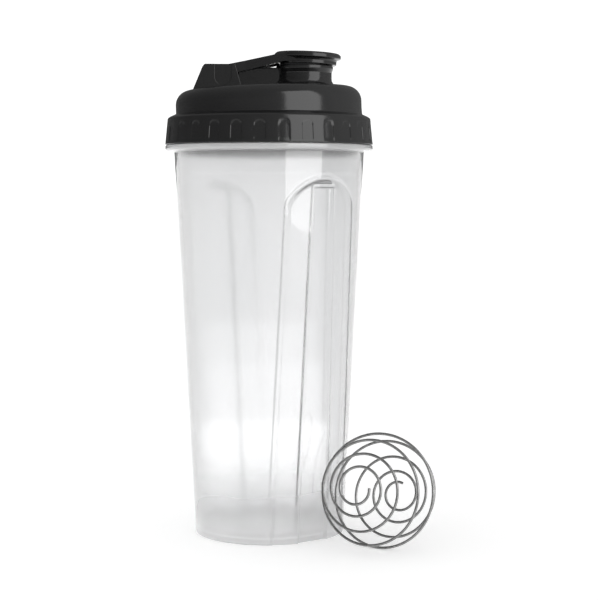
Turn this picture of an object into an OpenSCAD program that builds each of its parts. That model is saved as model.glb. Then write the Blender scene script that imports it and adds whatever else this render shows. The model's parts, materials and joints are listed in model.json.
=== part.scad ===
// Protein shaker bottle: screw lid with a flip cap, tapered cup with two grip panels, loose wire whisk ball.
// Frame: origin at the centre of the cup's base, +Z up, the spout towards +X and the hinge towards -X.

/* [Cup] */
// Outer radius at the base
base_r = 34.1; // [30:0.1:40]
// Outer radius of the wall just under the flange
shoulder_r = 43; // [36:0.1:52]
// Height of the flange's underside above the base
flange_z = 174.1; // [120:0.1:220]
// Wall thickness
cup_wall = 1.8; // [1.2:0.1:2.4]
// Thickness of the floor
floor_t = 2; // [1.4:0.1:3]
// Thickness of the flange ring
flange_t = 2.6; // [1.6:0.1:4]
// Width of the foot ring
foot_w = 3.1; // [2:0.1:5]
// Depth of the groove inside the foot ring
foot_groove = 1.8; // [0.8:0.1:3]

/* [Grip panels] */
// Bearing of the front panel's middle, from -Y towards +X, degrees
panel_bearing = 36.8; // [0:0.1:90]
// Depth of the arched recess
recess_depth = 1.2; // [0.6:0.1:1.6]
// Half width of the recess at the base
recess_base_half = 19.6; // [16:0.1:22]
// Half width of the recess where its arch springs
recess_top_half = 17; // [14:0.1:20]
// Distance from the flange down to the arch's highest point
recess_drop = 13.3; // [8:0.1:40]
// Rise of the arch
recess_rise = 9.8; // [6:0.1:14]
// Depth of the finger channel at the base, from the cup's outside
channel_depth = 3.6; // [2.5:0.1:4.5]
// Depth of the finger channel at its top ledge
channel_top_depth = 3; // [2:0.1:4]
// Half width of the channel's floor at the base
channel_base_half = 7.4; // [5:0.1:9]
// Half width of the channel's floor at its top ledge
channel_top_half = 4; // [3:0.1:6]

/* [Screw thread] */
// Height of the neck above the flange
neck_h = 10.1; // [8:0.1:14]
// Advance of the lid in one turn
thread_lead = 5; // [4:0.1:6]
// Height of the ridges
thread_h = 1.2; // [0.8:0.1:1.4]
// Width of a ridge at its crest
thread_crest = 1.2; // [0.8:0.1:1.4]
// Gap between the lid's ridges and the neck, measured along the radius
thread_gap = 0.3; // [0.2:0.05:0.5]

/* [Lid] */
// Wall of the collar at its lower edge
collar_wall = 3.1; // [3:0.1:5]
// Draft of the collar, the radius lost up to its upper edge
collar_draft = 1.2; // [0.6:0.1:1.6]
// Thickness of the collar's top over the gasket
collar_roof = 1; // [0.8:0.1:3]
// Number of flutes round the collar
flutes = 28; // [12:1:40]
// Width of a flute
flute_w = 5; // [3:0.1:6]
// Depth of a flute
flute_depth = 0.5; // [0.3:0.05:0.8]
// Height of the dome's shoulder above the collar
dome_h = 12.9; // [9:0.1:18]
// Slope of the dome's top, rising to the middle, degrees
dome_slope = 3.2; // [1:0.1:5]
// Radius of the dome's shoulder round
dome_round = 6.5; // [4:0.1:8]
// Tilt of the dome, rising towards the spout, degrees
dome_tilt = 1.7; // [0:0.1:2.5]
// Wall thickness of the lid
lid_wall = 1.8; // [1.4:0.1:2.2]
// Wall of the skirt that plugs the cup's mouth
skirt_wall = 1.4; // [1:0.1:2]
// Distance from the flange's underside down to the skirt's lower edge
skirt_drop = 2.1; // [1:0.1:5]
// Thickness of the silicone gasket
gasket_t = 1.5; // [1:0.1:2]

/* [Spout] */
// Distance of the spout's middle from the dome's side
spout_inset = 26; // [20:0.1:30]
// Bore radius of the spout
spout_bore_r = 10.7; // [8.5:0.1:13]
// Wall of the spout
spout_wall = 1.6; // [1.2:0.1:2.2]
// Height of the spout's rim above the dome's shoulder
spout_h = 10.2; // [8:0.1:14]

/* [Flip cap] */
// Overhang of the cap's disc past the spout's wall
cap_overhang = 2.7; // [2:0.1:4]
// Offset of the disc past the spout, for the thumb
cap_lip = 1.5; // [0:0.1:2.5]
// Height of the disc's rim above the spout's rim, at the hinge side
cap_h = 6; // [5:0.1:8]
// Fall of the disc's top towards the thumb, degrees
cap_fall = 2.4; // [0:0.1:4]
// Distance of the hinge from the dome's side
hinge_inset = 21.6; // [19:0.1:24]
// Height of the hinge above the dome's shoulder
hinge_h = 4.7; // [4.2:0.1:7]
// Width of the arm at the hinge
arm_w = 16; // [10:0.1:20]
// Radius of the hinge barrel
barrel_r = 3.6; // [3:0.1:4]
// Radius of the hinge pin
pin_r = 1.25; // [1:0.05:1.6]
// Running clearance round the hinge pin
pin_gap = 0.05; // [0.02:0.01:0.1]
// Depth of the plug in the spout
plug_depth = 4.5; // [3:0.1:6]
// How far the cap opens before its arm meets the block, degrees
cap_open = 110; // [90:1:112]

/* [Whisk ball] */
// Outer diameter of the ball
ball_d = 51; // [40:0.1:60]
// Diameter of the wire
wire_d = 1.2; // [1:0.1:2]
// Turns of the spiral from pole to pole
wire_turns = 7.8; // [5:0.05:9]
// Share by which the turns crowd towards both ends of the wire
wire_crowd = 0.48; // [0:0.01:0.7]
// Gap between the ball and the foot of the cup
ball_gap = 2.6; // [2:0.1:20]
// Bearing of the ball from the cup, from -Y towards +X, degrees
ball_bearing = 49.7; // [0:0.1:90]
// Bearing of the ball's near pole, from -Y towards -X, degrees
pole_bearing = 26.8; // [0:0.1:90]
// Rise of the ball's near pole, degrees
pole_rise = 12.4; // [-90:0.1:90]
// Turn of the wire's first end about the pole, degrees
wire_start = 2; // [0:1:360]

/* [Hidden] */
$fn = 96;
eps = 0.01;
gap = 0.3;

// Cup
flange_top = flange_z + flange_t;
rim_z = flange_top + neck_h;
neck_r = shoulder_r - 0.5;
mouth_r = neck_r - cup_wall + 0.1;
floor_z = foot_groove + floor_t;
arch_z = flange_z - recess_drop;
spring_z = arch_z - recess_rise;
arch_r = (recess_top_half * recess_top_half + recess_rise * recess_rise) / (2 * recess_rise);
ledge_z = arch_z - 3;
channel_slope = 0.5;
channel_reach = shoulder_r + 15;

// Thread: a ridge on the neck, and one inside the collar that sits under it
ridge_r = neck_r + thread_h;
collar_bore_r = ridge_r + thread_gap;
thread_base = thread_crest + 1;
thread_z = flange_top + 2.9;
thread_pair = thread_base - thread_crest / 2 + 0.2;
neck_turns = (rim_z - 0.35 - thread_base / 2 - thread_z) / thread_lead;
lid_turns = [0.15, 1];
turn_steps = 60;

// Lid
collar_r = collar_bore_r + collar_wall;
flange_r = collar_r - 0.1;
collar_z = flange_top + 0.2;
ceiling_z = rim_z + gasket_t + 0.1;
collar_top = ceiling_z + collar_roof;
collar_h = collar_top - collar_z;
collar_top_r = collar_r - collar_draft;
skirt_r = mouth_r - 0.5;
skirt_z = flange_z - skirt_drop;
dome_z = collar_top + dome_h;
dome_r = collar_top_r - 3.8;
flute_top = collar_h - 2.4;

// Spout and hinge
spout_x = dome_r - spout_inset;
spout_r = spout_bore_r + spout_wall;
spout_z = dome_z + spout_h;
spout_bead = 0.9;
hinge_x = dome_r - hinge_inset;
axis_z = dome_z + hinge_h;
arm_top = spout_z + 0.2;
heel_r = 5.9;
cheek_y = arm_w / 2 + gap;
cheek_t = 3.5;
relief = 0.8;
pin_far = cheek_y + cheek_t - relief;
pin_stop = pin_far - 0.8;
block_back = 14;
block_reach = heel_r + 0.5;
block_notch = 1.5;

// Flip cap
cap_r = spout_r + cap_overhang;
cap_seat = spout_z + 0.7;
cap_x = spout_x + cap_lip;
cap_top = spout_z + cap_h;
arm_reach = cap_x - cap_r + 4;
arm_rise = atan((cap_top - 0.6 - arm_top) / (arm_reach + hinge_x - 1));
band_h = 2.2;
cap_wall = 1.8;
plug_r = spout_bore_r - 0.3;

// Whisk ball
wire_r = wire_d / 2;
path_r = ball_d / 2 - wire_r;
near_gap = 13.4;
far_gap = 11.4;
steps_per_turn = 36;
wire_sides = 8;
wire_steps = round(wire_turns * steps_per_turn);
ball_reach = base_r + ball_gap + ball_d / 2;
near_pole = [-sin(pole_bearing) * cos(pole_rise), -cos(pole_bearing) * cos(pole_rise), sin(pole_rise)];
pole_side = [cos(pole_bearing), -sin(pole_bearing), 0];
pole_up = cross(near_pole, pole_side);

// Radius of the cup's outside at height z
function wall_r(z) = base_r + (shoulder_r - base_r) * z / flange_z;

function unit(v) = v / norm(v);

// Faces of a tube of rings points, each with sides points, closed at both ends
function tube_faces(rings, sides) = concat(
    [[for (j = [0:sides - 1]) sides - 1 - j]],
    [for (i = [0:rings - 2]) for (j = [0:sides - 1])
        [i * sides + j, i * sides + (j + 1) % sides, (i + 1) * sides + (j + 1) % sides, (i + 1) * sides + j]],
    [[for (j = [0:sides - 1]) (rings - 1) * sides + j]]
);

// Solid of the cup's taper, shrunk by inset all round
module taper(inset) {
    low = -10;
    high = flange_z + 10;
    translate([0, 0, low])
        cylinder(r1 = wall_r(low) - inset, r2 = wall_r(high) - inset, h = high - low);
}

// Outline of the arched recess, grown by grow
module arch_outline(grow) {
    low = -5;
    high = arch_z + 5;
    slope = (recess_top_half - recess_base_half) / spring_z;
    intersection() {
        polygon([
            [-(recess_base_half + slope * low + grow), low],
            [recess_base_half + slope * low + grow, low],
            [recess_base_half + slope * high + grow, high],
            [-(recess_base_half + slope * high + grow), high]
        ]);
        union() {
            translate([0, arch_z - arch_r])
                circle(r = arch_r + grow);
            translate([-50, low])
                square([100, arch_z - arch_r - low]);
        }
    }
}

// The arched recess of one panel facing -Y, cut depth deep into the taper
module recess(grow, depth) {
    difference() {
        rotate([90, 0, 0])
            translate([0, 0, 15])
                linear_extrude(50)
                    arch_outline(grow);
        taper(depth);
    }
}

// The finger channel of one panel facing -Y: flat floor, sloping sides, a level ledge at its top
module channel(grow) {
    low = -5;
    high = ledge_z + grow;
    floor_low = wall_r(0) - channel_depth - grow;
    floor_high = wall_r(ledge_z) - channel_top_depth - grow;
    half_low = channel_base_half + grow * 0.6;
    half_high = channel_top_half + grow * 0.6;
    out_low = half_low + (channel_reach - floor_low) * channel_slope;
    out_high = half_high + (channel_reach - floor_high) * channel_slope;
    polyhedron(
        [
            [-half_low, -floor_low, low], [half_low, -floor_low, low],
            [out_low, -channel_reach, low], [-out_low, -channel_reach, low],
            [-half_high, -floor_high, high], [half_high, -floor_high, high],
            [out_high, -channel_reach, high], [-out_high, -channel_reach, high]
        ],
        [[3, 2, 1, 0], [4, 5, 6, 7], [0, 1, 5, 4], [1, 2, 6, 5], [2, 3, 7, 6], [3, 0, 4, 7]]
    );
}

// Both grip panels, opposite each other
module panels(grow, depth) {
    for (turn = [0, 180])
        rotate([0, 0, panel_bearing + turn]) {
            recess(grow, depth);
            channel(grow);
        }
}

// Helical ridge from root radius to crest radius, over the given turns of the shared helix
module ridge(root, crest, z, turns) {
    steps = round((turns[1] - turns[0]) * turn_steps);
    fade_steps = 5;
    base = root + (root > crest ? gap : -gap);
    rings = [for (i = [0:steps])
        let(
            turn = turns[0] + (turns[1] - turns[0]) * i / steps,
            fade = min(1, (i + 0.5) / fade_steps, (steps - i + 0.5) / fade_steps),
            top = root + (crest - root) * fade,
            mid = z + thread_lead * turn,
            out = [cos(360 * turn), sin(360 * turn)]
        )
        for (p = [[base, -thread_base / 2], [top, -thread_crest / 2], [top, thread_crest / 2], [base, thread_base / 2]])
            [out[0] * p[0], out[1] * p[0], mid + p[1]]
    ];
    faces = tube_faces(steps + 1, 4);
    polyhedron(rings, root > crest ? [for (f = faces) [for (k = [len(f) - 1:-1:0]) f[k]]] : faces);
}

module cup() {
    pad_r = base_r - foot_w - 5;
    foot_round = 1;
    color([0.86, 0.87, 0.88])
        difference() {
            union() {
                rotate_extrude()
                    polygon([
                        [0, 0], [pad_r, 0], [pad_r + 1, foot_groove], [base_r - foot_w - 1, foot_groove],
                        [base_r - foot_w, 0], [base_r - foot_round, 0], [wall_r(foot_round), foot_round],
                        [shoulder_r, flange_z], [flange_r - 0.6, flange_z], [flange_r, flange_z + 0.6],
                        [flange_r, flange_top - 0.6], [flange_r - 0.6, flange_top], [neck_r, flange_top],
                        [neck_r, rim_z], [0, rim_z]
                    ]);
                ridge(neck_r, ridge_r, thread_z, [0, neck_turns]);
            }
            panels(0, recess_depth);
            difference() {
                rotate_extrude()
                    polygon([
                        [0, floor_t], [pad_r - 1, floor_t], [pad_r, floor_z], [wall_r(floor_z) - cup_wall, floor_z],
                        [mouth_r, flange_z], [mouth_r, rim_z + 1], [0, rim_z + 1]
                    ]);
                panels(cup_wall, recess_depth + cup_wall);
            }
        }
}

// Section of the dome from the axis out to its round shoulder, shrunk by inset, above the height low
module dome_section(inset, low) {
    mid_r = dome_r - dome_round;
    mid_z = dome_z - dome_round;
    round_r = dome_round - inset;
    touch_r = mid_r + round_r * sin(dome_slope);
    touch_z = mid_z + round_r * cos(dome_slope);
    translate([mid_r, mid_z])
        circle(r = round_r);
    polygon([
        [0, low], [dome_r - inset, low], [dome_r - inset, mid_z], [mid_r, mid_z],
        [touch_r, touch_z], [0, touch_z + touch_r * tan(dome_slope)]
    ]);
}

// Dome, or its hollow when inset, tilted about the middle of the collar's top
module dome(inset, low) {
    translate([0, 0, collar_top])
        rotate([0, -dome_tilt, 0])
            translate([0, 0, -collar_top])
                rotate_extrude()
                    dome_section(inset, low);
}

// Arch-topped flutes round the collar, following its draft
module flute_cuts() {
    lean = atan(collar_draft / collar_h);
    for (i = [0:flutes - 1])
        rotate([0, 0, 360 * i / flutes + 20.85 - 90])
            translate([collar_r - flute_depth, 0, collar_z])
                rotate([0, -lean, 0])
                    rotate([90, 0, 90])
                        linear_extrude(4) {
                            translate([-flute_w / 2, 1.2])
                                square([flute_w, flute_top - flute_w / 2 - 1.2]);
                            translate([0, flute_top - flute_w / 2])
                                circle(d = flute_w);
                        }
}

// Side outline of the hinge cheeks and the block behind them, x and z
module cheek_outline() {
    foot_z = dome_z - 6;
    polygon([
        [-hinge_x - block_back, foot_z], [-hinge_x - block_back, dome_z - 2.2], [-hinge_x - 9.2, arm_top - 1.2],
        [-hinge_x - 8.2, arm_top], [-hinge_x + 3.5, arm_top], [-hinge_x + 6.5, axis_z + 2],
        [-hinge_x + 8.5, dome_z - 0.5], [-hinge_x + 8.5, foot_z]
    ]);
}

// Slot between the hinge cheeks, for the arm as it swings from closed to open
module arm_slot() {
    rest_depth = (arm_top - axis_z) * cos(arm_rise) - sin(arm_rise) + gap;
    rotate([90, 0, 0])
        linear_extrude(2 * cheek_y, center = true) {
            circle(r = block_reach);
            translate([0, -block_reach])
                square([20, 40]);
            translate([-block_back - 1, block_notch])
                square([40, 20]);
            rotate(cap_open + arm_rise)
                square([20, rest_depth]);
        }
}

// Hinge cheeks on both sides of the arm, joined by the low block behind the barrel
module hinge_block() {
    width = cheek_y + cheek_t;
    difference() {
        rotate([90, 0, 0])
            linear_extrude(2 * width, center = true)
                cheek_outline();
        translate([-hinge_x, 0, axis_z])
            arm_slot();
        for (side = [-1, 1])
            translate([-hinge_x, side * width, axis_z])
                rotate([90, 0, 0]) {
                    cylinder(r = barrel_r, h = 2 * relief, center = true);
                    translate([-barrel_r, 0, -relief])
                        cube([2 * barrel_r, 20, 2 * relief]);
                }
    }
}

module lid() {
    saddle_w = 9;
    saddle_drop = 1.1;
    flare = 3.2;
    color([0.07, 0.07, 0.075])
        difference() {
            union() {
                difference() {
                    union() {
                        rotate_extrude()
                            polygon([
                                [0, collar_z], [collar_r - 0.3, collar_z], [collar_r, collar_z + 0.3],
                                [collar_top_r, collar_top - 1], [collar_top_r - 0.9, collar_top],
                                [dome_r - 0.9, collar_top + 1.76], [0, collar_top + 1.76]
                            ]);
                        dome(0, ceiling_z - 2);
                        hinge_block();
                        translate([spout_x, 0, 0])
                            rotate_extrude()
                                difference() {
                                    polygon([
                                        [0, collar_top], [spout_r + flare, collar_top],
                                        [spout_r + flare, dome_z + flare - 0.5], [spout_r, dome_z + flare - 0.5],
                                        [spout_r, spout_z - 2.4], [spout_r + spout_bead, spout_z - 1.6],
                                        [spout_r + spout_bead, spout_z - 0.4], [spout_r + spout_bead - 0.4, spout_z],
                                        [0, spout_z]
                                    ]);
                                    translate([spout_r + flare, dome_z + flare - 0.5])
                                        circle(r = flare);
                                }
                        translate([-hinge_x + block_reach, -saddle_w / 2, collar_top])
                            cube([hinge_x - block_reach + spout_x - spout_r + 1, saddle_w, arm_top - saddle_drop - collar_top]);
                    }
                    dome(lid_wall, ceiling_z + 2.5);
                    translate([0, 0, collar_z - 1])
                        cylinder(r = collar_bore_r, h = ceiling_z - collar_z + 1);
                    translate([0, 0, collar_z - 1])
                        cylinder(r = skirt_r - skirt_wall, h = ceiling_z - collar_z + 6);
                    flute_cuts();
                }
                translate([0, 0, skirt_z])
                    difference() {
                        cylinder(r = skirt_r, h = ceiling_z - skirt_z + eps);
                        translate([0, 0, -1])
                            cylinder(r = skirt_r - skirt_wall, h = ceiling_z - skirt_z + 3);
                    }
                ridge(collar_bore_r, neck_r + thread_gap, thread_z - thread_pair, lid_turns);
            }
            translate([spout_x, 0, collar_top])
                cylinder(r = spout_bore_r, h = 60);
            translate([-hinge_x, pin_far, axis_z])
                rotate([90, 0, 0])
                    cylinder(r = pin_r, h = pin_far + pin_stop);
        }
}

module lid_gasket() {
    edge = 0.4;
    inner = mouth_r + 0.1;
    outer = neck_r + 0.9;
    low = rim_z + 0.05;
    color([0.55, 0.56, 0.58])
        rotate_extrude()
            polygon([
                [inner + edge, low], [outer - edge, low], [outer, low + edge], [outer, low + gasket_t - edge],
                [outer - edge, low + gasket_t], [inner + edge, low + gasket_t], [inner, low + gasket_t - edge],
                [inner, low + edge]
            ]);
}

// Arm seen from the side, from the heel over the barrel to the disc, with its top lowered and its foot dropped
module arm_side(top_drop, foot_drop) {
    polygon([
        [-hinge_x - 1.5, axis_z - foot_drop], [-hinge_x - 1.5, arm_top - top_drop],
        [-hinge_x + 1, arm_top - top_drop], [arm_reach, cap_top - 0.6 - top_drop],
        [arm_reach, cap_seat + 0.8 - foot_drop], [-hinge_x + 16.5, arm_top - 1.2 - foot_drop],
        [-hinge_x + 6, arm_top - 3.6 - foot_drop],
        [-hinge_x + 3, axis_z - foot_drop]
    ]);
}

// Arm seen from above, widening to the disc
module arm_plan(inset) {
    polygon([
        [-hinge_x - heel_r + inset, -arm_w / 2 + inset], [-hinge_x + 10, -arm_w / 2 + inset],
        [cap_x - cap_r + 6, -cap_r + 3 + inset], [cap_x - cap_r + 6, cap_r - 3 - inset],
        [-hinge_x + 10, arm_w / 2 - inset], [-hinge_x - heel_r + inset, arm_w / 2 - inset]
    ]);
}

module arm(inset) {
    intersection() {
        rotate([90, 0, 0])
            linear_extrude(60, center = true)
                arm_side(inset, 4 * inset);
        translate([0, 0, axis_z - 10])
            linear_extrude(60)
                arm_plan(inset);
    }
}

module flip_cap() {
    color([0.07, 0.07, 0.075])
        difference() {
            union() {
                difference() {
                    arm(0);
                    intersection() {
                        arm(cap_wall);
                        translate([-hinge_x + barrel_r + 1, -40, 0])
                            cube([80, 80, 400]);
                    }
                }
                translate([-hinge_x, 0, axis_z])
                    rotate([90, 0, 0])
                        cylinder(r = barrel_r, h = arm_w, center = true);
                translate([cap_x, 0, cap_top])
                    rotate([0, cap_fall, 0])
                        rotate_extrude()
                            polygon([
                                [0, 0.3], [cap_r - 0.9, -0.2], [cap_r, -1], [cap_r, -band_h],
                                [cap_r - 0.8, -band_h - 0.5], [cap_r - 2.2, cap_seat - cap_top - 0.2], [0, cap_seat - cap_top - 0.2]
                            ]);
            }
            translate([spout_x, 0, cap_seat - 3])
                cylinder(r = plug_r + 0.8, h = 3 + cap_top - cap_seat - cap_wall - 1.2);
            translate([spout_x - spout_r - spout_bead - 2.9, -50, cap_seat - 20 - 0.4])
                cube([100, 100, 20]);
            translate([-hinge_x, 0, axis_z])
                rotate([90, 0, 0])
                    cylinder(r = pin_r + pin_gap, h = arm_w + 2, center = true);
        }
}

// Soft plug: a flange that meets the spout's rim, and a tapered body that swings out of the bore
module spout_plug() {
    color([0.16, 0.16, 0.17])
        translate([spout_x, 0, 0])
            rotate_extrude()
                polygon([
                    [0, spout_z - plug_depth + 1.5], [plug_r - 2.6, spout_z - plug_depth + 1.5],
                    [plug_r - 2.2, spout_z - plug_depth], [plug_r - 0.9, spout_z - plug_depth],
                    [plug_r, spout_z], [plug_r + 0.8, spout_z + 0.1], [plug_r + 0.8, cap_top - cap_wall - 1.2],
                    [0, cap_top - cap_wall - 1.2]
                ]);
}

module hinge_pin() {
    color([0.75, 0.76, 0.78])
        translate([-hinge_x, pin_far, axis_z])
            rotate([90, 0, 0])
                cylinder(r = pin_r, h = pin_far + pin_stop);
}

// Point of the wire at share s of its winding, from the near pole to the far one, about the ball's centre
function wire_point(s) =
    let(
        crowded = s - wire_crowd * sin(360 * s) / (2 * PI),
        polar = near_gap + (180 - near_gap - far_gap) * crowded,
        turn = wire_start - 360 * wire_turns * s
    )
    path_r * (near_pole * cos(polar) + (pole_side * cos(turn) + pole_up * sin(turn)) * sin(polar));

// Octagon of the wire at one step, square to the winding
function wire_ring(i) =
    let(
        here = wire_point(i / wire_steps),
        out = unit(here),
        along = unit(wire_point((i + 0.5) / wire_steps) - wire_point((i - 0.5) / wire_steps)),
        side = cross(out, along)
    )
    [for (j = [0:wire_sides - 1])
        here + wire_r * (out * cos(360 * j / wire_sides) + side * sin(360 * j / wire_sides))];

module whisk_ball() {
    points = [for (i = [0:wire_steps]) for (p = wire_ring(i)) p];
    lowest = min([for (p = points) p[2]]);
    color([0.7, 0.71, 0.72])
        translate([ball_reach * sin(ball_bearing), -ball_reach * cos(ball_bearing), -lowest])
            polyhedron(points, tube_faces(wire_steps + 1, wire_sides));
}

cup();
lid();
lid_gasket();
flip_cap();
spout_plug();
hinge_pin();
whisk_ball();
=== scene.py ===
import json

import bpy
import numpy as np
from mathutils import Matrix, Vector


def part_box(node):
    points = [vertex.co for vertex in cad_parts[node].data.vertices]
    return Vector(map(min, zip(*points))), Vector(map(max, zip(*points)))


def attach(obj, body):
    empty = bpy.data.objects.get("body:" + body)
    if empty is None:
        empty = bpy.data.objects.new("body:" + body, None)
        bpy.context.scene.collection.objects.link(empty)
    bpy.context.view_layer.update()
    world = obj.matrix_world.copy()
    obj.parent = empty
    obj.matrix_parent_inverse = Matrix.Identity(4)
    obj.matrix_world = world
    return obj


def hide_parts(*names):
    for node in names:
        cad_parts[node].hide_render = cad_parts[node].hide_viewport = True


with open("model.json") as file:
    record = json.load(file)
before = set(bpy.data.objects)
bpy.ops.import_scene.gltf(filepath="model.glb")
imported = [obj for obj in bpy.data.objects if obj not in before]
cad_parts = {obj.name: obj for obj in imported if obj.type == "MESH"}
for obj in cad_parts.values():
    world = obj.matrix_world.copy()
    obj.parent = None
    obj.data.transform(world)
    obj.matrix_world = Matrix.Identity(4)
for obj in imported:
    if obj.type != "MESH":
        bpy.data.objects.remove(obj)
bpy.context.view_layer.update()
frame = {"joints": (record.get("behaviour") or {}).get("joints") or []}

# Cup: the tapered bottle that holds the drink. It is one moulding in milky polypropylene,
# with a foot ring, two arched grip panels with a finger channel each, a flange and a
# threaded neck. Everything else is fixed to it or stands beside it.
MM = 0.001
cup_high = np.array(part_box("cup")[1]) / MM
flange_r = cup_high[0]
rim_z = cup_high[2]
neck_h, flange_t = 10.1, 2.6
flange_top = rim_z - neck_h
flange_z = flange_top - flange_t
base_r, shoulder_r = 34.1, flange_r - 4
neck_r, mouth_r = shoulder_r - 0.5, shoulder_r - 2.2
cup_wall, floor_z = 1.8, 3.8
groove_r, groove_z = 27, 1.8  # inner radius and roof of the groove inside the foot ring
pad_r, pad_top = 26, 2.0
panel_bearing = np.radians(36.8 - 90)
recess_depth, recess_base_half, recess_top_half = 1.2, 19.6, 17.0
arch_z, arch_r = flange_z - 13.3, 19.65
spring_z, ledge_z = arch_z - 9.8, arch_z - 3
plain_z = 146  # the panels' sides run straight up to here
plain_half = 24  # and the wall is plain further than this from a panel's middle
channel_low, channel_high = base_r - 3.6, shoulder_r - 3.83
channel_half, channel_narrowing, channel_slope = 7.4, 3.4, 1.1
channel_start = 5  # the channel's taper is measured from this far under the base
thread_lead, thread_h, thread_z = 5.0, 1.2, flange_top + 2.9
thread_crest, thread_base = 1.2, 2.2


def smooth(t):
    """An even S from 0 to 1: three t squared less two t cubed, with t held between 0 and 1."""
    t = np.clip(t, 0, 1)
    return t * t * (3 - 2 * t)


def lesser(a, b, width):
    """The smaller of a and b, rounded where they cross: their mix less width times h times one less h."""
    h = np.clip(0.5 + 0.5 * (b - a) / width, 0, 1)
    return b + (a - b) * h - width * h * (1 - h)


def rounded(corners, closed=False, per_arc=5, support=0.12):
    """Path through corners (across, up, radius): a radius is an arc tangent to both sides, with
    one more point a little way along each side, so that the flat beside it is shaded flat."""
    corners = np.array(corners, float)
    spots, radii, path = corners[:, :2], corners[:, 2], []
    for k, (spot, radius) in enumerate(zip(spots, radii)):
        if radius == 0 or (not closed and k in (0, len(spots) - 1)):
            path.append(spot[None])
            continue
        back = spots[k - 1] - spot
        ahead = spots[(k + 1) % len(spots)] - spot
        back /= np.linalg.norm(back)
        ahead /= np.linalg.norm(ahead)
        half = 0.5 * np.arccos(np.clip(back @ ahead, -1, 1))
        reach = radius / np.tan(half)
        middle = spot + (back + ahead) / np.linalg.norm(back + ahead) * radius / np.sin(half)
        first, last = spot + back * reach - middle, spot + ahead * reach - middle
        turn = np.pi - 2 * half
        t = np.linspace(0, 1, per_arc + 1)[:, None]
        arc = middle + (first * np.sin((1 - t) * turn) + last * np.sin(t * turn)) / np.sin(turn)
        path += [spot + back * (reach + support), arc, spot + ahead * (reach + support)]
    return np.vstack([np.atleast_2d(p) for p in path])


def divided(path, step):
    """The path with each side cut into equal parts no longer than step at the side's middle height."""
    start, side = path[:-1], np.diff(path, axis=0)
    length = np.hypot(*side.T)
    parts = np.maximum(1, np.ceil(length / step(start[:, 1] + side[:, 1] / 2))).astype(int)
    first = np.repeat(np.cumsum(parts) - parts, parts)
    share = (np.arange(parts.sum()) - first) / np.repeat(parts, parts)
    inner = np.repeat(start, parts, axis=0) + np.repeat(side, parts, axis=0) * share[:, None]
    return np.vstack([inner, path[-1:]])


def spun(across, up, angle, centre=0.0):
    """Rows of points round an upright axis: (centre + across cos angle, across sin angle, up)."""
    across, up, angle = np.broadcast_arrays(across, up, angle)
    return np.stack([centre + across * np.cos(angle), across * np.sin(angle), up], -1)


def skin(name, grid, ring=False):
    """Mesh of a grid of rows of points in millimetres, each row a loop: a four-sided face between
    neighbours, and a flat face over the first and last rows unless ring joins them to each other.
    Shading is smooth, but for edges that turn by more than half a right angle."""
    rows, columns = grid.shape[:2]
    i = np.arange(rows if ring else rows - 1)[:, None]
    j = np.arange(columns)[None, :]
    after_i, after_j = (i + 1) % rows, (j + 1) % columns
    corners = [i * columns + j, i * columns + after_j, after_i * columns + after_j, after_i * columns + j]
    faces = np.stack(corners, -1).reshape(-1, 4).tolist()
    if not ring:
        loop = np.arange(columns)
        faces += [loop[::-1].tolist(), (loop + (rows - 1) * columns).tolist()]
    mesh = bpy.data.meshes.new(name)
    mesh.from_pydata((grid.reshape(-1, 3) * MM).tolist(), [], faces)
    mesh.shade_smooth()
    mesh.set_sharp_from_angle(angle=np.pi / 4)
    return mesh


def fitted(name, mesh, body, stands_for, finish):
    """Makes the finished piece: the mesh with its material, on its CAD body, in place of its CAD node."""
    piece = bpy.data.objects.new(name, mesh)
    bpy.context.scene.collection.objects.link(piece)
    mesh.materials.append(finish)
    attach(piece, body)
    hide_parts(stands_for)


class Wire:
    """One output of a material's node; sums, differences and products of wires add Math nodes."""

    def __init__(self, tree, socket=None):
        self.tree, self.socket = tree, socket

    def node(self, kind, settings=None, sockets=None, out=0):
        """A new node of this kind: its settings first, then the values or wires of its sockets."""
        made = self.tree.nodes.new("ShaderNode" + kind)
        for setting, value in (settings or {}).items():
            if setting == "stops":
                ramp = made.color_ramp
                while len(ramp.elements) < len(value):
                    ramp.elements.new(0.5)
                for stop, (position, colour) in zip(ramp.elements, value):
                    stop.position, stop.color = position, (*colour, 1)
            else:
                setattr(made, setting, value)
        for key, value in (sockets or {}).items():
            if isinstance(value, Wire):
                self.tree.links.new(value.socket, made.inputs[key])
            else:
                made.inputs[key].default_value = value
        return Wire(self.tree, made.outputs[out] if len(made.outputs) else None)

    def maths(self, operation, a, b):
        return self.node("Math", {"operation": operation}, {0: a, 1: b})

    def __add__(self, other):
        return self.maths("ADD", self, other)

    def __radd__(self, other):
        return self.maths("ADD", other, self)

    def __sub__(self, other):
        return self.maths("SUBTRACT", self, other)

    def __rsub__(self, other):
        return self.maths("SUBTRACT", other, self)

    def __mul__(self, other):
        return self.maths("MULTIPLY", self, other)

    def __rmul__(self, other):
        return self.maths("MULTIPLY", other, self)


def finish_of(name):
    """A new material with an empty node tree: the material and the wire that its nodes start from."""
    material = bpy.data.materials.new(name)
    material.use_nodes = True
    material.node_tree.nodes.clear()
    return material, Wire(material.node_tree)


def tinted(wires, share, *stops):
    """Colour that runs from stop to stop, each a position and a colour, as the share goes from 0 to 1."""
    return wires.node("ValToRGB", {"stops": stops}, {"Fac": share})


def bumped(wires, strength, distance, relief):
    """Normal of a surface raised by the relief, distance in metres at full height."""
    return wires.node("Bump", None, {"Strength": strength, "Distance": distance, "Height": relief})


def part_of(wires, way, axis):
    """Length of the vector along an axis of unit length."""
    return wires.node("VectorMath", {"operation": "DOT_PRODUCT"}, {0: way, 1: axis}, "Value")


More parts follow.
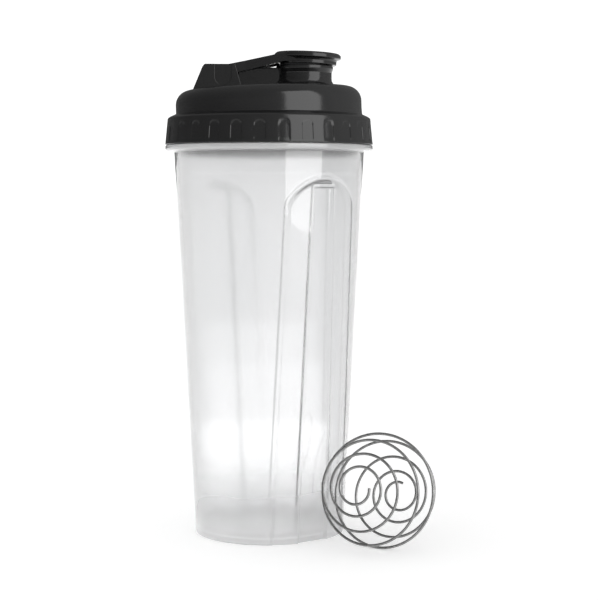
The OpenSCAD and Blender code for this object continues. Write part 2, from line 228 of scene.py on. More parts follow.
def cloud(wires, scale, detail=3.0, stretch=(1, 1, 1)):
    """Soft noise between 0 and 1 in the piece's own metres, scale cells to the metre."""
    place = wires.node("TexCoord", out="Object")
    place = wires.node("Mapping", {"vector_type": "POINT"}, {"Vector": place, "Scale": stretch})
    return wires.node("TexNoise", None, {"Vector": place, "Scale": scale, "Detail": detail})


def wall_r(z):
    """Outer radius of the plain taper at height z: straight from the base to the flange."""
    return base_r + (shoulder_r - base_r) * z / flange_z


def recess_half(z, grow):
    """Half the recess's width at height z: straight from the base to where its arch springs."""
    return recess_base_half + (recess_top_half - recess_base_half) * z / spring_z + grow


def panel_cut(wall, angle, z, grow):
    """Radius of the wall once both grip panels are cut into it. With side the distance from the
    panel's middle and the arch a straight-sided outline under a circle, the recess takes its
    depth off the wall inside the outline; the channel is a flat floor whose sides rise at about a
    half right angle, ended by a level ledge; the result is the lesser of the two."""
    turn = np.abs((angle - panel_bearing + np.pi / 2) % np.pi - np.pi / 2)
    side = np.sin(turn) * (wall_r(z) - recess_depth / 2)
    from_arch = arch_r + grow - np.hypot(side, np.maximum(z - (arch_z - arch_r), 0))
    inside = lesser(recess_half(z, grow) - side, from_arch, 1.2)
    recessed = wall - recess_depth * smooth(inside / 2.0 + 0.5)
    share = (z + channel_start) / (ledge_z + grow + channel_start)
    floor = channel_low + (channel_high - channel_low) * share - grow
    floor_half = channel_half - channel_narrowing * share + 0.6 * grow
    level = floor / np.maximum(np.cos(turn), 0.3)
    leaving = np.maximum(np.cos(turn) - channel_slope * np.sin(turn), 0.02)
    slope = (floor - channel_slope * floor_half) / leaving
    channel = -lesser(-level, -slope, 0.9) + 6 * smooth((z - ledge_z - grow) / 1.0 + 0.3)
    return lesser(recessed, channel, 0.8)


def cup_angles(z, grow):
    """Bearings of the cup's columns at height z. In a quarter turn from a panel's middle they
    follow the channel's floor, its upper edge and the recess's edge, then spread evenly."""
    z, grow = np.clip(z, 0, arch_z + 2)[:, None], grow[:, None]
    taper = wall_r(z) - recess_depth / 2
    narrowed = channel_narrowing * (z + channel_start) / (ledge_z + channel_start)
    floor_half = channel_half - narrowed + 0.6 * grow
    brink = floor_half + 1.8
    edge = recess_half(z, grow)
    knots = [
        0 * z, floor_half - 0.6, floor_half + 0.4, brink + 0.8, edge - 1.1, edge + 1.1, plain_half + 0 * z,
    ]
    parts = [6, 6, 8, 19, 10, 4]
    sides = [a + (b - a) * np.arange(n) / n for a, b, n in zip(knots, knots[1:], parts)]
    near = np.arcsin(np.hstack(sides) / taper)
    last = np.arcsin(plain_half / taper)
    quarter = np.hstack([near, last + (np.pi / 2 - last) * np.linspace(0, 1, 18)])
    there, back = quarter[:, :-1], (np.pi - quarter[:, ::-1])[:, :-1]
    return panel_bearing + np.hstack([there, back, there + np.pi, back + np.pi])


def helix_rise(angle, z, first_z, turns):
    """Share of a screw ridge's height at a bearing and height: 1 over its crest, falling straight
    to 0 at its base width, for each pass of the helix, faded in and out over a twelfth of a turn."""
    turn = (angle / (2 * np.pi)) % 1
    rise = np.zeros(np.broadcast(angle, z).shape)
    for lap in range(2):
        along = turn + lap
        off = np.abs(z - first_z - thread_lead * along)
        ridge = np.clip((thread_base / 2 - off) / ((thread_base - thread_crest) / 2), 0, 1)
        fade = np.clip(np.minimum(along - turns[0], turns[1] - along) * 12, 0, 1)
        rise = np.maximum(rise, ridge * fade)
    return rise


def cup_grid():
    """The cup's profile from under its floor, out round the foot, up the wall, over the flange
    and the rim and down inside, turned round the axis. Both walls lose the panels' cut, the
    foot ring is drawn in with them, and the neck gains the screw ridge."""
    centre_r = 6

    def outer_step(z):
        at_thread = np.where((z > flange_top + 0.5) & (z < rim_z - 1), 0.4, 4.0)
        return np.where((z > plain_z + 1) & (z < arch_z + 2), 0.3, at_thread)

    def inner_step(z):
        return np.where((z > plain_z + 1) & (z < arch_z + 3.5), 0.7, 5.0)

    out = divided(rounded([
        (centre_r, 0, 0), (pad_r, 0, 0.4), (groove_r, groove_z, 0.4), (30, groove_z, 0.4), (31, 0, 0.3),
        (base_r, 0, 1.0), (wall_r(plain_z), plain_z, 0), (wall_r(arch_z + 1.6), arch_z + 1.6, 0),
        (shoulder_r, flange_z, 0.7), (flange_r, flange_z, 1.0), (flange_r, flange_top, 0.6),
        (neck_r, flange_top, 0.4), (neck_r, rim_z, 0.5), (mouth_r, rim_z, 0.5), (mouth_r, flange_z, 0),
    ]), outer_step)
    inner_base = base_r - cup_wall + 0.2
    back = divided(rounded([
        (mouth_r, flange_z, 0), (mouth_r - 0.55, arch_z + 4, 0), (mouth_r - 1.2, plain_z, 0),
        (inner_base, floor_z, 1.5), (pad_r, floor_z, 0.5), (pad_r - 1, pad_top, 0.5), (centre_r, pad_top, 0),
    ]), inner_step)[1:]
    path = np.vstack([out, back])
    r, z = path[:, :1], path[:, 1:]
    top = out[:, 1].argmax()
    outer = np.arange(len(path))[:, None] < top
    angle = cup_angles(path[:, 1], np.where(outer[:, 0], 0, cup_wall))
    under = outer & (z < groove_z + 0.1) & (r <= base_r - 0.9)
    cut_out = lesser(r + 0 * angle, panel_cut(wall_r(z), angle, z, 0), 0.25)
    foot = panel_cut(base_r + 0 * z, angle, 0 * z, 0)
    pull = np.clip((r - groove_r) / (base_r - groove_r), 0, 1)
    cut_foot = r - pull * (base_r - foot) * (r > groove_r)
    cut_in = lesser(r + 0 * angle, panel_cut(r, angle, z, cup_wall), 0.25)
    body = np.where(under, cut_foot, np.where(outer, cut_out, cut_in))
    radius = np.where((z > arch_z + 3) | (~outer & (r < groove_r)), r, body)
    on_neck = outer & (z > flange_top + 0.5) & (z < rim_z - 0.3)
    ridge = helix_rise(angle, z, thread_z, (0, 1.15))
    return spun(radius + thread_h * ridge * on_neck, z, angle)


milky, wires = finish_of("milky_polypropylene")
haze = cloud(wires, 26, 4, (1, 1, 0.35))
flow = cloud(wires, 140, 2, (1, 1, 0.12))
grain = cloud(wires, 2600, 2)
height = part_of(wires, wires.node("TexCoord", out="Object"), (0, 0, 1))
low = 1 - wires.maths("MINIMUM", height * 22, 1)
above = (height - flange_z * MM) * 2000 + 0.8
ring = wires.maths("MINIMUM", wires.maths("MAXIMUM", above, 0), 1)
milkiness = 0.04 + 0.06 * haze + 0.6 * low * low + 0.5 * ring
surface = {
    "Base Color": tinted(wires, haze, (0.3, (0.84, 0.845, 0.85)), (0.7, (0.90, 0.90, 0.905))),
    "IOR": 1.38, "Coat Weight": 1.0, "Coat Roughness": 0.03, "Coat IOR": 1.65,
    "Normal": bumped(wires, 0.1, 0.0006, flow * 0.8 + grain * 0.1),
}
clear_finish = {"Roughness": 0.15 + 0.05 * haze, "Transmission Weight": 0.95}
milky_finish = {"Roughness": 0.3 + 0.05 * haze, "Transmission Weight": 0.25}
clear = wires.node("BsdfPrincipled", None, surface | clear_finish)
milk = wires.node("BsdfPrincipled", None, surface | milky_finish)
shell = wires.node("MixShader", None, {0: milkiness, 1: clear, 2: milk})
wires.node("OutputMaterial", None, {"Surface": shell})
fitted("cup_shell", skin("cup_shell", cup_grid()), "cup", "cup", milky)

# Gasket: a grey silicone ring, moulded square with eased corners. It lies loose in the lid's
# ceiling and is pressed on the cup's rim when the lid is screwed down.
seal_low, seal_high = (np.array(corner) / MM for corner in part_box("lid_gasket"))
seal_in, seal_edge = mouth_r + 0.1, 0.4
seal_path = rounded([
    (seal_in, seal_low[2], seal_edge), (seal_high[0], seal_low[2], seal_edge),
    (seal_high[0], seal_high[2], seal_edge), (seal_in, seal_high[2], seal_edge),
], closed=True)
round_96 = np.linspace(0, 2 * np.pi, 97)[:-1]
silicone, wires = finish_of("grey_silicone")
dust = cloud(wires, 900, 4)
soft = wires.node("BsdfPrincipled", None, {
    "Base Color": tinted(wires, dust, (0.35, (0.21, 0.215, 0.225)), (0.7, (0.27, 0.275, 0.285))),
    "Roughness": 0.55 + 0.2 * dust,
    "Normal": bumped(wires, 0.2, 0.0002, dust),
})
wires.node("OutputMaterial", None, {"Surface": soft})
seal_grid = spun(seal_path[:, :1], seal_path[:, 1:], round_96)
fitted("seal_ring", skin("seal_ring", seal_grid, ring=True), "seal", "lid_gasket", silicone)

# Lid: one moulding in charcoal polypropylene. The fluted collar screws down over the neck, the
# skirt plugs the mouth, and the dome leans a little up towards the spout that rises from it.
lid_low, lid_high = (np.array(corner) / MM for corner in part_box("lid"))
collar_r, skirt_z = lid_high[1], lid_low[2]
arm_top = lid_high[2]
spout_z = arm_top - 0.2
collar_z, ceiling_z = flange_top + 0.2, rim_z + 1.6
collar_top = ceiling_z + 1
collar_top_r = collar_r - 1.2
bore_r, skirt_r = collar_r - 3.1, mouth_r - 0.5
lid_wall, skirt_wall = 1.8, 1.4
dome_r, dome_z = collar_top_r - 3.8, collar_top + 12.9
dome_round, dome_slope, dome_tilt = 6.5, np.radians(3.2), np.radians(1.7)
spout_x, spout_bore, spout_r = dome_r - 26, 10.7, 12.3
flare = 3.2
flutes, flute_w, flute_depth = 28, 5.0, 0.3
flute_low, flute_top = collar_z + 1.2, collar_z + 10.1
flute_bearing = np.radians(20.85 - 90)


def leant(points):
    """Points of the dome turned about the crosswise line through the collar's top, up towards +X."""
    x, y, z = np.moveaxis(points, -1, 0)
    z = z - collar_top
    across = x * np.cos(dome_tilt) - z * np.sin(dome_tilt)
    return np.stack([across, y, collar_top + x * np.sin(dome_tilt) + z * np.cos(dome_tilt)], -1)


def dome_height(x, y, inset):
    """Height of the leant dome's top, lowered by inset, over a point: a cone of gentle slope whose
    side runs tangent to the shoulder's round, plus the lean's rise with x."""
    round_r = dome_round - inset
    touch_r = dome_r - dome_round + round_r * np.sin(dome_slope)
    touch_z = dome_z - dome_round + round_r * np.cos(dome_slope) - collar_top
    reach = np.hypot(x + touch_z * np.sin(dome_tilt), y)
    cone = touch_z + (touch_r - reach) * np.tan(dome_slope)
    return collar_top + cone * np.cos(dome_tilt) + x * np.sin(dome_tilt)


def shoulder(inset, angle, steps):
    """Rows over the dome's round shoulder, from its upright side to where the top's cone touches it."""
    sweep = np.linspace(0, np.pi / 2 - dome_slope, steps)[:, None]
    r = dome_r - dome_round + (dome_round - inset) * np.cos(sweep)
    z = dome_z - dome_round + (dome_round - inset) * np.sin(sweep)
    return leant(spun(r, z, angle))


def dome_rows(outer, inner, inset, steps):
    """Rows across the dome's top: straight in plan from one loop to another, at the dome's height."""
    t = np.linspace(0, 1, steps + 2)[1:-1, None]
    x = outer[:, 0] + (inner[:, 0] - outer[:, 0]) * t
    y = outer[:, 1] + (inner[:, 1] - outer[:, 1]) * t
    return np.stack([x, y, dome_height(x, y, inset)], -1)


def flute_mask(angle, z):
    """1 inside a flute and 0 outside: the distance in from the outline of an upright slot with an
    arched top, softened over a third of a millimetre; the slot runs out to 0.4 towards its top."""
    pitch = 2 * np.pi / flutes
    side = np.abs((angle - flute_bearing + pitch / 2) % pitch - pitch / 2) * collar_r
    inside = flute_w / 2 - np.hypot(side, np.maximum(z - (flute_top - flute_w / 2), 0))
    running_out = 0.4 + 0.6 * smooth((flute_top - z) / 3)
    return smooth(np.minimum(inside, z - flute_low) / 0.3 + 0.5) * running_out


def lid_grid():
    """The lid as one endless skin: down the spout's bore, under the dome, down and up the skirt,
    down the threaded bore, up the fluted collar, over the dome and up the spout to its rim."""
    steps = np.array([-4.0, -2.85, -2.6, -2.4, -2.1, -1.2, 0, 1.2, 2.1, 2.4, 2.6, 2.85, 4.0, 5.24])
    pitch = 2 * np.pi / flutes
    angle = (flute_bearing + pitch * np.arange(flutes)[:, None] + steps / collar_r).ravel()[None, :]

    def around_spout(r, z):
        return spun(r, z, angle, spout_x)

    def collar_step(z):
        at_crowns = np.where((z > collar_z + 7.6) & (z < collar_z + 10.4), 0.3, 0.65)
        return np.where(z < ceiling_z - 0.5, at_crowns, 4.0)

    bore_foot = around_spout(spout_bore, 0)[0]
    bore_foot[:, 2] = dome_height(bore_foot[:, 0], bore_foot[:, 1], lid_wall)
    bore_top = around_spout(spout_bore, spout_z - 0.5)[0]
    t = np.linspace(0, 1, 5)[:, None, None]
    bore = bore_top + (bore_foot - bore_top) * t
    inner_round = shoulder(lid_wall, angle, 6)
    under = dome_rows(bore_foot, inner_round[-1], lid_wall, 7)
    skirt_in = skirt_r - skirt_wall
    sides = divided(rounded([
        (dome_r - lid_wall, collar_top + 4.5, 0), (skirt_in, collar_top + 3.6, 0.3), (skirt_in, skirt_z, 0.35),
        (skirt_r, skirt_z, 0.6), (skirt_r, ceiling_z, 0.3), (bore_r, ceiling_z, 0.3), (bore_r, collar_z, 0.3),
        (collar_r, collar_z, 0.3), (collar_top_r + 0.03, collar_top - 0.7, 0.6),
        (collar_top_r - 0.9, collar_top, 0.5), (dome_r + 0.15, collar_top + 1.25, 0.5),
        (dome_r, collar_top + 3.0, 0),
    ], per_arc=4), collar_step)
    r, z = sides[:, :1], sides[:, 1:]
    order = np.arange(len(sides))[:, None]
    lowest = order[(r > bore_r + 1) & (z < collar_z + 0.2)].min()
    in_bore = (order < lowest) & (np.abs(r - bore_r) < 0.05) & (z > collar_z + 0.5)
    outside = order > lowest
    ridge = helix_rise(angle, z, thread_z - 1.8, (0.15, 1))
    r = r - thread_h * ridge * in_bore - flute_depth * flute_mask(angle, z) * outside * (z < collar_top - 1)
    wall = spun(r, z, angle)
    leaning = smooth((z - collar_top - 1.2) / 1.0)[..., None]
    wall = wall + (leant(wall) - wall) * leaning
    outer_round = shoulder(0, angle, 11)
    foot = around_spout(spout_r + flare, 0)[0]
    foot[:, 2] = dome_height(foot[:, 0], foot[:, 1], 0)
    over = dome_rows(outer_round[-1], foot, 0, 10)
    sweep = np.linspace(0, np.pi / 2, 8)[:, None]
    flared = around_spout(spout_r + flare * (1 - np.sin(sweep)), foot[:, 2] + flare * (1 - np.cos(sweep)))
    bead_r = spout_r + 0.6
    rim = rounded([
        (spout_r, dome_z + 5, 0), (spout_r, spout_z - 3.2, 1.5), (bead_r, spout_z - 1.4, 1.0),
        (bead_r, spout_z, 0.45), (spout_bore, spout_z, 0.4), (spout_bore, spout_z - 0.5, 0),
    ], per_arc=4)[:-1]
    lip = around_spout(rim[:, :1], rim[:, 1:])
    return np.concatenate([bore, under, inner_round[::-1], wall, outer_round, over, flared, lip])


charcoal, wires = finish_of("charcoal_polypropylene")
mottle = cloud(wires, 60, 4)
peel = cloud(wires, 900, 3)
spark = cloud(wires, 5200, 2)
moulded = wires.node("BsdfPrincipled", None, {
    "Base Color": tinted(wires, mottle, (0.3, (0.0072, 0.0072, 0.0075)), (0.7, (0.0100, 0.0100, 0.0103))),
    "Roughness": 0.09 + 0.06 * mottle + 0.04 * spark, "IOR": 1.49,
    "Normal": bumped(wires, 0.08, 0.0003, peel * 0.7 + spark * 0.12),
})
wires.node("OutputMaterial", None, {"Surface": moulded})
fitted("lid_shell", skin("lid_shell", lid_grid(), ring=True), "lid", "lid", charcoal)

# Hinge block: part of the lid's moulding. Two cheeks, each with a round-bottomed relief in its
# outer face, hold the pin, a low wall joins them behind, and a rib runs on to the spout.
hinge = next(joint for joint in frame["joints"] if joint["name"] == "cap_flip")
hinge_x, axis_z = hinge["pos_m"][0] / MM, hinge["pos_m"][2] / MM
arm_w, barrel_r = 16.0, 3.6
cheek_y, cheek_t, relief = arm_w / 2 + 0.3, 3.5, 0.8
heel_reach = 6.4
block_back, block_foot = hinge_x - 14, dome_z - 4
block_back_z = dome_z - 2.2


def drawn_in(loop, amount):
    """The loop moved inwards: each point goes along the bisector of the normals of its two sides."""
    ahead = np.roll(loop, -1, 0) - loop
    ahead /= np.linalg.norm(ahead, axis=1, keepdims=True)
    normal = np.stack([-ahead[:, 1], ahead[:, 0]], -1)
    before = np.roll(normal, 1, 0)
    share = 1 + (normal * before).sum(1, keepdims=True)
    return loop + amount * (normal + before) / np.maximum(share, 0.5)


def slab(loop, near, far, ease_near=0.0, ease_far=0.0):
    """Rows of a slab whose outline is the loop in x and z, from y far to y near. An eased end
    is a quarter round: inset by ease (1 - sin a) at ease (1 - cos a) from the end."""
    sweep = np.linspace(0, np.pi / 2, 5)

    def end(y, inward, ease):
        if not ease:
            return [(y, 0.0)]
        eased = [(y + inward * ease * (1 - np.cos(a)), ease * (1 - np.sin(a))) for a in sweep]
        return [(y, ease + 0.15)] + eased

    rows = []
    for y, inset in end(far, -1, ease_far) + end(near, 1, ease_near)[::-1]:
        drawn = drawn_in(loop, inset)
        rows.append(np.stack([drawn[:, 0], np.full(len(drawn), y), drawn[:, 1]], -1))
    return np.stack(rows)


def joined(name, meshes):
    """One mesh that holds several, shaded as each of them was."""
    points, faces = [], []
    for mesh in meshes:
        start = len(points)
        points += [tuple(v.co) for v in mesh.vertices]
        faces += [[start + k for k in face.vertices] for face in mesh.polygons]
        bpy.data.meshes.remove(mesh)
    made = bpy.data.meshes.new(name)
    made.from_pydata(points, [], faces)
    made.shade_smooth()
    made.set_sharp_from_angle(angle=np.pi / 4)
    return made


def cheek_loop(notched):
    """Side outline of a cheek, anticlockwise in x and z; notched adds the relief, a slot down from
    the top edge that ends in a half round about the hinge."""
    outline = [
        (block_back, block_foot, 0), (hinge_x + 8.5, block_foot, 0), (hinge_x + 8.5, dome_z - 0.5, 0.6),
        (hinge_x + 6.5, axis_z + 2, 1.5), (hinge_x + 3.5 + 1.9 * notched, arm_top, 0.6),
    ]
    if notched:
        notch_z, notch_round = axis_z - barrel_r, barrel_r - 0.2
        outline += [
            (hinge_x + barrel_r, arm_top, 0.5), (hinge_x + barrel_r, notch_z, notch_round),
            (hinge_x - barrel_r, notch_z, notch_round), (hinge_x - barrel_r, arm_top, 0.5),
        ]
    outline += [
        (hinge_x - 8.2, arm_top, 0.7), (hinge_x - 9.2, arm_top - 1.2, 0.8), (block_back, block_back_z, 0),
    ]
    return rounded(outline, closed=True, per_arc=6)


def rear_loop():
    """Side outline of the low wall behind the barrel, hollowed round the hinge for the arm's heel."""
    sweep = np.radians(np.linspace(184, 262, 9))
    hollow = np.stack([hinge_x + heel_reach * np.cos(sweep), axis_z + heel_reach * np.sin(sweep)], -1)
    rim = [(block_back, block_foot), (hinge_x + 1, block_foot), (hinge_x - 0.9, dome_z - 2)]
    crest = [(hinge_x - 7.6, axis_z + 1.5), (hinge_x - 10.5, axis_z + 1.5), (block_back, block_back_z)]
    return np.vstack([rim, hollow[::-1], crest])


cheek, cheek_face, rear = cheek_loop(False), cheek_loop(True), rear_loop()
rib_end, rib_top = spout_x - spout_r + 1.2, arm_top - 1.1
rib = rounded([
    (hinge_x + heel_reach, block_foot, 0), (rib_end, block_foot, 0),
    (rib_end, rib_top, 0), (hinge_x + heel_reach, rib_top, 0.5),
], closed=True)
width = cheek_y + cheek_t
hinge_parts = [
    skin("cheek_core_front", slab(cheek, -width + relief, -cheek_y, 0, 0.3)),
    skin("cheek_face_front", slab(cheek_face, -width, -width + relief + 0.3, 0.25, 0)),
    skin("cheek_core_back", slab(cheek, cheek_y, width - relief, 0.3, 0)),
    skin("cheek_face_back", slab(cheek_face, width - relief - 0.3, width, 0, 0.25)),
    skin("rear_wall", slab(rear, -cheek_y - 0.2, cheek_y + 0.2)),
    skin("spout_rib", slab(rib, -4.5, 4.5, 0.4, 0.4)),
]
fitted("hinge_block", joined("hinge_block", hinge_parts), "lid", "lid", charcoal)

# Hinge pin: a short drawn steel rod with dressed ends, pushed in from the back cheek. The
# barrel of the flip cap turns on it.
pin_low, pin_high = (np.array(corner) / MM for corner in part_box("hinge_pin"))
pin_r = (pin_high[2] - pin_low[2]) / 2


def lathed(path, angle):
    """Rows of points round the hinge's crosswise line: the path gives each row's radius and y."""
    r, y = path[:, :1], path[:, 1:]
    x, z = hinge_x + r * np.cos(angle), axis_z - r * np.sin(angle)
    return np.stack(np.broadcast_arrays(x, y, z), -1)


pin_path = rounded([
    (0.3, pin_low[1], 0), (pin_r, pin_low[1], 0.25), (pin_r, pin_high[1], 0.25), (0.3, pin_high[1], 0),
])
pin_grid = lathed(pin_path, np.linspace(0, 2 * np.pi, 49)[:-1][None, :])
steel, wires = finish_of("drawn_steel")
drawn = cloud(wires, 700, 3)
smear = cloud(wires, 90, 3)
worn = drawn * 0.6 + smear * 0.4
metal = wires.node("BsdfPrincipled", None, {
    "Base Color": tinted(wires, worn, (0.3, (0.20, 0.20, 0.20)), (0.75, (0.42, 0.42, 0.415))),
    "Metallic": 1.0, "Roughness": 0.2 + 0.16 * smear,
    "Normal": bumped(wires, 0.15, 0.0001, drawn),
})
wires.node("OutputMaterial", None, {"Surface": metal})
fitted("hinge_pin_rod", skin("hinge_pin_rod", pin_grid), "lid", "hinge_pin", steel)

# Flip cap: one moulding in the same charcoal polypropylene. A thumb disc with a stepped rim
# closes the spout, and a hollow arm carries it back to the barrel between the cheeks.
cap_r, cap_x = spout_r + 2.7, spout_x + 1.5
cap_top, cap_seat = spout_z + 6, spout_z + 0.7
cap_fall = np.radians(2.4)
cap_wall = 1.8
pocket_r = spout_bore + 0.5 + 0.05
pivot_r = pin_r + 0.05
arm_end = cap_x - cap_r + 4
spread_x = hinge_x + 10
spread_run = cap_x - spread_x
spread = np.arcsin((cap_r - 2.2) / np.hypot(spread_run, arm_w / 2)) - np.arctan(arm_w / 2 / spread_run)


def arm_section(x):
    """Loop of the hollow arm across station x: an inverted channel with eased edges. Its top rises
    straight to the disc and its foot in two steps; past the cheeks its sides spread, so that they
    run tangent to the disc's lower body, and it ends inside that body."""
    top = np.interp(x, [hinge_x + 1, arm_end], [arm_top, cap_top - 0.6])
    foot_x = [hinge_x + 3, hinge_x + 6, hinge_x + 16.5, arm_end]
    foot = np.interp(x, foot_x, [axis_z, arm_top - 3.6, arm_top - 1.2, cap_seat + 0.8])
    half = arm_w / 2 + np.tan(spread) * np.maximum(x - spread_x, 0)
    hollow = smooth((x - hinge_x - barrel_r - 1) / 0.8)
    ceiling = foot + 0.05 + (top - cap_wall - foot - 0.05) * hollow
    inner = half - cap_wall
    loop = rounded([
        (-half, foot, 0.25), (-inner, foot, 0.02), (-inner, ceiling, 0.02), (inner, ceiling, 0.02),
        (inner, foot, 0.02), (half, foot, 0.25), (half, top, 0.7), (-half, top, 0.7),
    ], closed=True, support=0.01)
    return np.stack([np.full(len(loop), x), loop[:, 0], loop[:, 1]], -1)


stations = np.concatenate([
    [hinge_x - 1.5, hinge_x - 0.5, hinge_x + 0.8, hinge_x + 1.2, hinge_x + 2.6, hinge_x + 3.2],
    np.linspace(hinge_x + barrel_r + 1, hinge_x + barrel_r + 1.8, 5),
    np.linspace(hinge_x + 6.2, arm_end, 26), np.linspace(arm_end, cap_x - 4.6, 6)[1:],
])
arm_grid = np.stack([arm_section(x) for x in stations])
barrel_path = rounded([
    (pivot_r, -arm_w / 2, 0.3), (barrel_r, -arm_w / 2, 0.3),
    (barrel_r, arm_w / 2, 0.3), (pivot_r, arm_w / 2, 0.3),
], closed=True)
barrel_grid = lathed(barrel_path, np.linspace(0, 2 * np.pi, 49)[:-1][None, :])
disc_foot, pocket_z = cap_seat - cap_top - 0.1, -cap_wall - 0.7
disc_path = rounded([
    (0.5, 0.3, 0), (cap_r - 0.9, -0.2, 0.8), (cap_r, -1.0, 0.5), (cap_r, -2.5, 0.4),
    (cap_r - 1.5, -3.0, 0.4), (cap_r - 1.9, -3.8, 0.5), (cap_r - 1.9, disc_foot, 0.35),
    (pocket_r, disc_foot, 0.2), (pocket_r, pocket_z, 0.2), (0.5, pocket_z, 0),
])[::-1]
disc = spun(disc_path[:, :1], disc_path[:, 1:], np.linspace(0, 2 * np.pi, 145)[:-1])
x, y, z = np.moveaxis(disc, -1, 0)
disc_x = cap_x + x * np.cos(cap_fall) + z * np.sin(cap_fall)
disc_z = cap_top - x * np.sin(cap_fall) + z * np.cos(cap_fall)
cap_parts = [
    skin("cap_arm", arm_grid), skin("cap_barrel", barrel_grid, ring=True),
    skin("cap_disc", np.stack([disc_x, y, disc_z], -1)),
]
fitted("flip_cap_shell", joined("flip_cap_shell", cap_parts), "cap", "flip_cap", charcoal)

# Plug: a soft black rubber stopper pressed into the underside of the disc. Its flange meets the
# spout's rim and its hollow tapered body enters the bore.
plug_low, plug_high = (np.array(corner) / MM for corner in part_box("spout_plug"))
plug_r = spout_bore - 0.3
plug_foot = plug_low[2]
plug_path = rounded([
    (0.5, plug_foot + 1.5, 0), (plug_r - 2.6, plug_foot + 1.5, 0.4), (plug_r - 2.2, plug_foot, 0.3),
    (plug_r - 0.9, plug_foot, 0.4), (plug_r, spout_z, 0.2), (plug_high[1], spout_z + 0.1, 0.1),
    (plug_high[1], plug_high[2], 0.3), (0.5, plug_high[2], 0),
], support=0.03)
rubber, wires = finish_of("black_rubber")
bloom = cloud(wires, 700, 4)
matt = wires.node("BsdfPrincipled", None, {
    "Base Color": tinted(wires, bloom, (0.35, (0.014, 0.014, 0.015)), (0.7, (0.026, 0.026, 0.027))),
    "Roughness": 0.5 + 0.25 * bloom,
    "Normal": bumped(wires, 0.2, 0.0002, bloom),
})
wires.node("OutputMaterial", None, {"Surface": matt})
plug_grid = spun(plug_path[:, :1], plug_path[:, 1:], round_96, spout_x)
fitted("plug_body", skin("plug_body", plug_grid), "cap", "spout_plug", rubber)

# Whisk ball: one length of bright drawn steel wire, wound into a spiral over a ball from pole to
# pole with its turns crowded towards both ends. It is loose, and stands beside the cup's foot.
ball_foot = np.array(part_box("whisk_ball")[0])[2] / MM
ball_r = 51 / 2
wire_r, wire_turns, wire_crowd = 0.6, 7.8, 0.48
near_gap, far_gap, wire_start = np.radians(13.4), np.radians(11.4), np.radians(2)
pole_bearing, pole_rise = np.radians(26.8), np.radians(12.4)
ball_bearing = np.radians(49.7)
path_r = ball_r - wire_r
ball_away = base_r + 2.6 + ball_r
near_pole = np.array([
    -np.sin(pole_bearing) * np.cos(pole_rise), -np.cos(pole_bearing) * np.cos(pole_rise), np.sin(pole_rise),
])
pole_side = np.array([np.cos(pole_bearing), -np.sin(pole_bearing), 0])
pole_up = np.cross(near_pole, pole_side)


def winding(s):
    """Centre line of the wire at share s of its winding: on a sphere, the angle from the near pole
    grows with s less a sine that crowds the turns at both ends, as the bearing turns evenly."""
    s = np.asarray(s)[:, None]
    polar = near_gap + (np.pi - near_gap - far_gap) * (s - wire_crowd * np.sin(2 * np.pi * s) / (2 * np.pi))
    turn = wire_start - 2 * np.pi * wire_turns * s
    round_pole = pole_side * np.cos(turn) + pole_up * np.sin(turn)
    return path_r * (near_pole * np.cos(polar) + round_pole * np.sin(polar))


def wire_grid(steps=900, sides=14):
    """Rings carried along the winding: out from the ball's centre by cos, aside by sin of each
    ring's angle, drawn in at both ends so that the cut ends are rounded."""
    s = np.linspace(0, 1, steps)
    here = winding(s)
    along = winding(s + 1e-4) - winding(s - 1e-4)
    along /= np.linalg.norm(along, axis=1, keepdims=True)
    out = here / np.linalg.norm(here, axis=1, keepdims=True)
    out -= along * (out * along).sum(1, keepdims=True)
    out /= np.linalg.norm(out, axis=1, keepdims=True)
    aside = np.cross(along, out)
    a = np.linspace(0, 2 * np.pi, sides + 1)[:-1][None, :, None]
    rings = here[:, None] + wire_r * (out[:, None] * np.cos(a) + aside[:, None] * np.sin(a))
    turn = np.radians([75, 50, 25])[:, None, None]
    back = turn[::-1]
    first = here[0] + (rings[0] - here[0]) * np.cos(turn) - along[0] * wire_r * 0.5 * np.sin(turn)
    last = here[-1] + (rings[-1] - here[-1]) * np.cos(back) + along[-1] * wire_r * 0.5 * np.sin(back)
    return np.concatenate([first, rings, last])


ball_grid = wire_grid()
ball_rise = ball_foot - ball_grid[..., 2].min()
ball_grid += np.array([ball_away * np.sin(ball_bearing), -ball_away * np.cos(ball_bearing), ball_rise])
fitted("whisk_wire", skin("whisk_wire", ball_grid), "ball", "whisk_ball", steel)

# Table and light: a plain pale table, a white surround, and a tall soft box in front on the
# right that gives the gloss its bright stripe. Weak panels behind the cup, which only the light
# that comes through it meets, make its pale glow. The camera stands low in front.
reach = 40.0
corners = [(-reach, -reach, 0), (reach, -reach, 0), (reach, reach, 0), (-reach, reach, 0)]
table = bpy.data.meshes.new("table")
table.from_pydata(corners, [], [(0, 1, 2, 3)])
pale, wires = finish_of("pale_table")
speck = cloud(wires, 3, 2)
laminate = wires.node("BsdfPrincipled", None, {
    "Base Color": tinted(wires, speck, (0.0, (0.93, 0.93, 0.93)), (1.0, (0.95, 0.95, 0.95))),
    "Roughness": 0.8, "Emission Color": (1, 1, 1, 1), "Emission Strength": 0.26,
})
wires.node("OutputMaterial", None, {"Surface": laminate})
table.materials.append(pale)
floor = bpy.data.objects.new("table", table)
bpy.context.scene.collection.objects.link(floor)

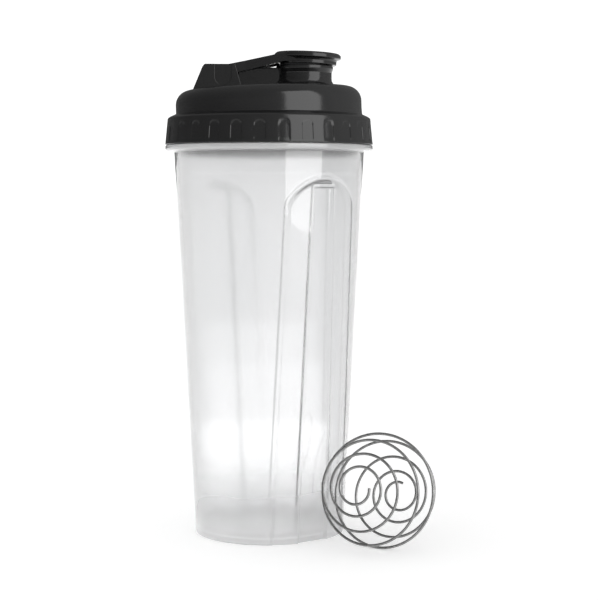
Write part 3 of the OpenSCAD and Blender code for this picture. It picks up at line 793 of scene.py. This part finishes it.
world = bpy.data.worlds.new("studio")
bpy.context.scene.world = world
world.use_nodes = True
world.node_tree.nodes.clear()
sky = Wire(world.node_tree)
way = sky.node("TexCoord", out="Generated")
rightward, backward = part_of(sky, way, (1, 0, 0)), part_of(sky, way, (0, 1, 0))
seen = sky.node("LightPath", out="Is Camera Ray")
glossed = sky.node("LightPath", out="Is Glossy Ray") * sky.node("LightPath", out="Is Reflection Ray")
open_white = (0.9 + 0.25 * seen) * (1 - 0.32 * rightward)
flagged = (0.45 + 0.27 * rightward) * (1 - 0.75 * sky.maths("MAXIMUM", backward, 0))
white = sky.node("Background", None, {"Color": (1, 1, 1, 1), "Strength": open_white})
mirrored = sky.node("Background", None, {"Color": (1, 1, 1, 1), "Strength": flagged})
sky.node("OutputWorld", None, {"Surface": sky.node("MixShader", None, {0: glossed, 1: white, 2: mirrored})})


def soft_box(name, place, aim, size, radiance, seen_by):
    """A rectangular lamp at a place, facing aim, that only some kinds of ray see; its power is pi
    times its radiance times its area."""
    lamp = bpy.data.lights.new(name, "AREA")
    lamp.shape, (lamp.size, lamp.size_y) = "RECTANGLE", size
    lamp.energy = np.pi * radiance * size[0] * size[1]
    back = np.array(place, float) - np.array(aim, float)
    back /= np.linalg.norm(back)
    across = np.cross([0, 0, 1], back)
    across /= np.linalg.norm(across)
    turn = np.eye(4)
    turn[:3, 0], turn[:3, 1], turn[:3, 2], turn[:3, 3] = across, np.cross(back, across), back, place
    box = bpy.data.objects.new(name, lamp)
    box.matrix_world = Matrix(turn.tolist())
    for kind in ("camera", "diffuse", "glossy", "transmission"):
        setattr(box, "visible_" + kind, kind in seen_by)
    bpy.context.scene.collection.objects.link(box)


key_bearing, key_away, key_z = np.radians(42.5), 1.2, 0.75
key_place = (key_away * np.sin(key_bearing), -key_away * np.cos(key_bearing), key_z)
soft_box("key_box", key_place, (0, 0, key_z), (1.04, 1.9), 2.3, ["glossy"])
panel_y = 50
panels = {  # left, right, foot and top in millimetres, and radiance
    "wash_box": (-43.5, 25.7, 0, 176, 0.28),
    "low_box": (-37.7, 30.0, 0, 42.6, 0.85),
    "glow_box": (-37.7, 25.7, 42.6, 72, 0.35),
    "wide_glow_box": (-37.7, 22.0, 42.6, 92, 0.2),
    "tall_glow_box": (-31.3, 15.0, 42.6, 118, 0.12),
    "core_box": (-18, -3, 42.6, 69, 0.75),
}
for name, (left, right, foot, top, radiance) in panels.items():
    middle = np.array([(left + right) / 2, panel_y, (foot + top) / 2]) * MM
    size = ((right - left) * MM, (top - foot) * MM)
    soft_box(name, middle, middle - [0, 0.05, 0], size, radiance, ["transmission"])

pitch_down, yaw = 0.0676, 0.0192
camera_place = (0, -0.7305, 0.1558)
sight = np.array([np.sin(yaw) * np.cos(pitch_down), np.cos(yaw) * np.cos(pitch_down), -np.sin(pitch_down)])
right = np.array([np.cos(yaw), -np.sin(yaw), 0])
stand = np.eye(4)
stand[:3, 0], stand[:3, 1], stand[:3, 2], stand[:3, 3] = right, np.cross(right, sight), -sight, camera_place
lens = bpy.data.cameras.new("camera")
lens.sensor_width, lens.lens = 36, 96
lens.clip_start, lens.clip_end = 0.01, 200
camera = bpy.data.objects.new("camera", lens)
camera.matrix_world = Matrix(stand.tolist())
bpy.context.scene.collection.objects.link(camera)
bpy.context.scene.camera = camera
bpy.context.scene.view_settings.view_transform = "Standard"
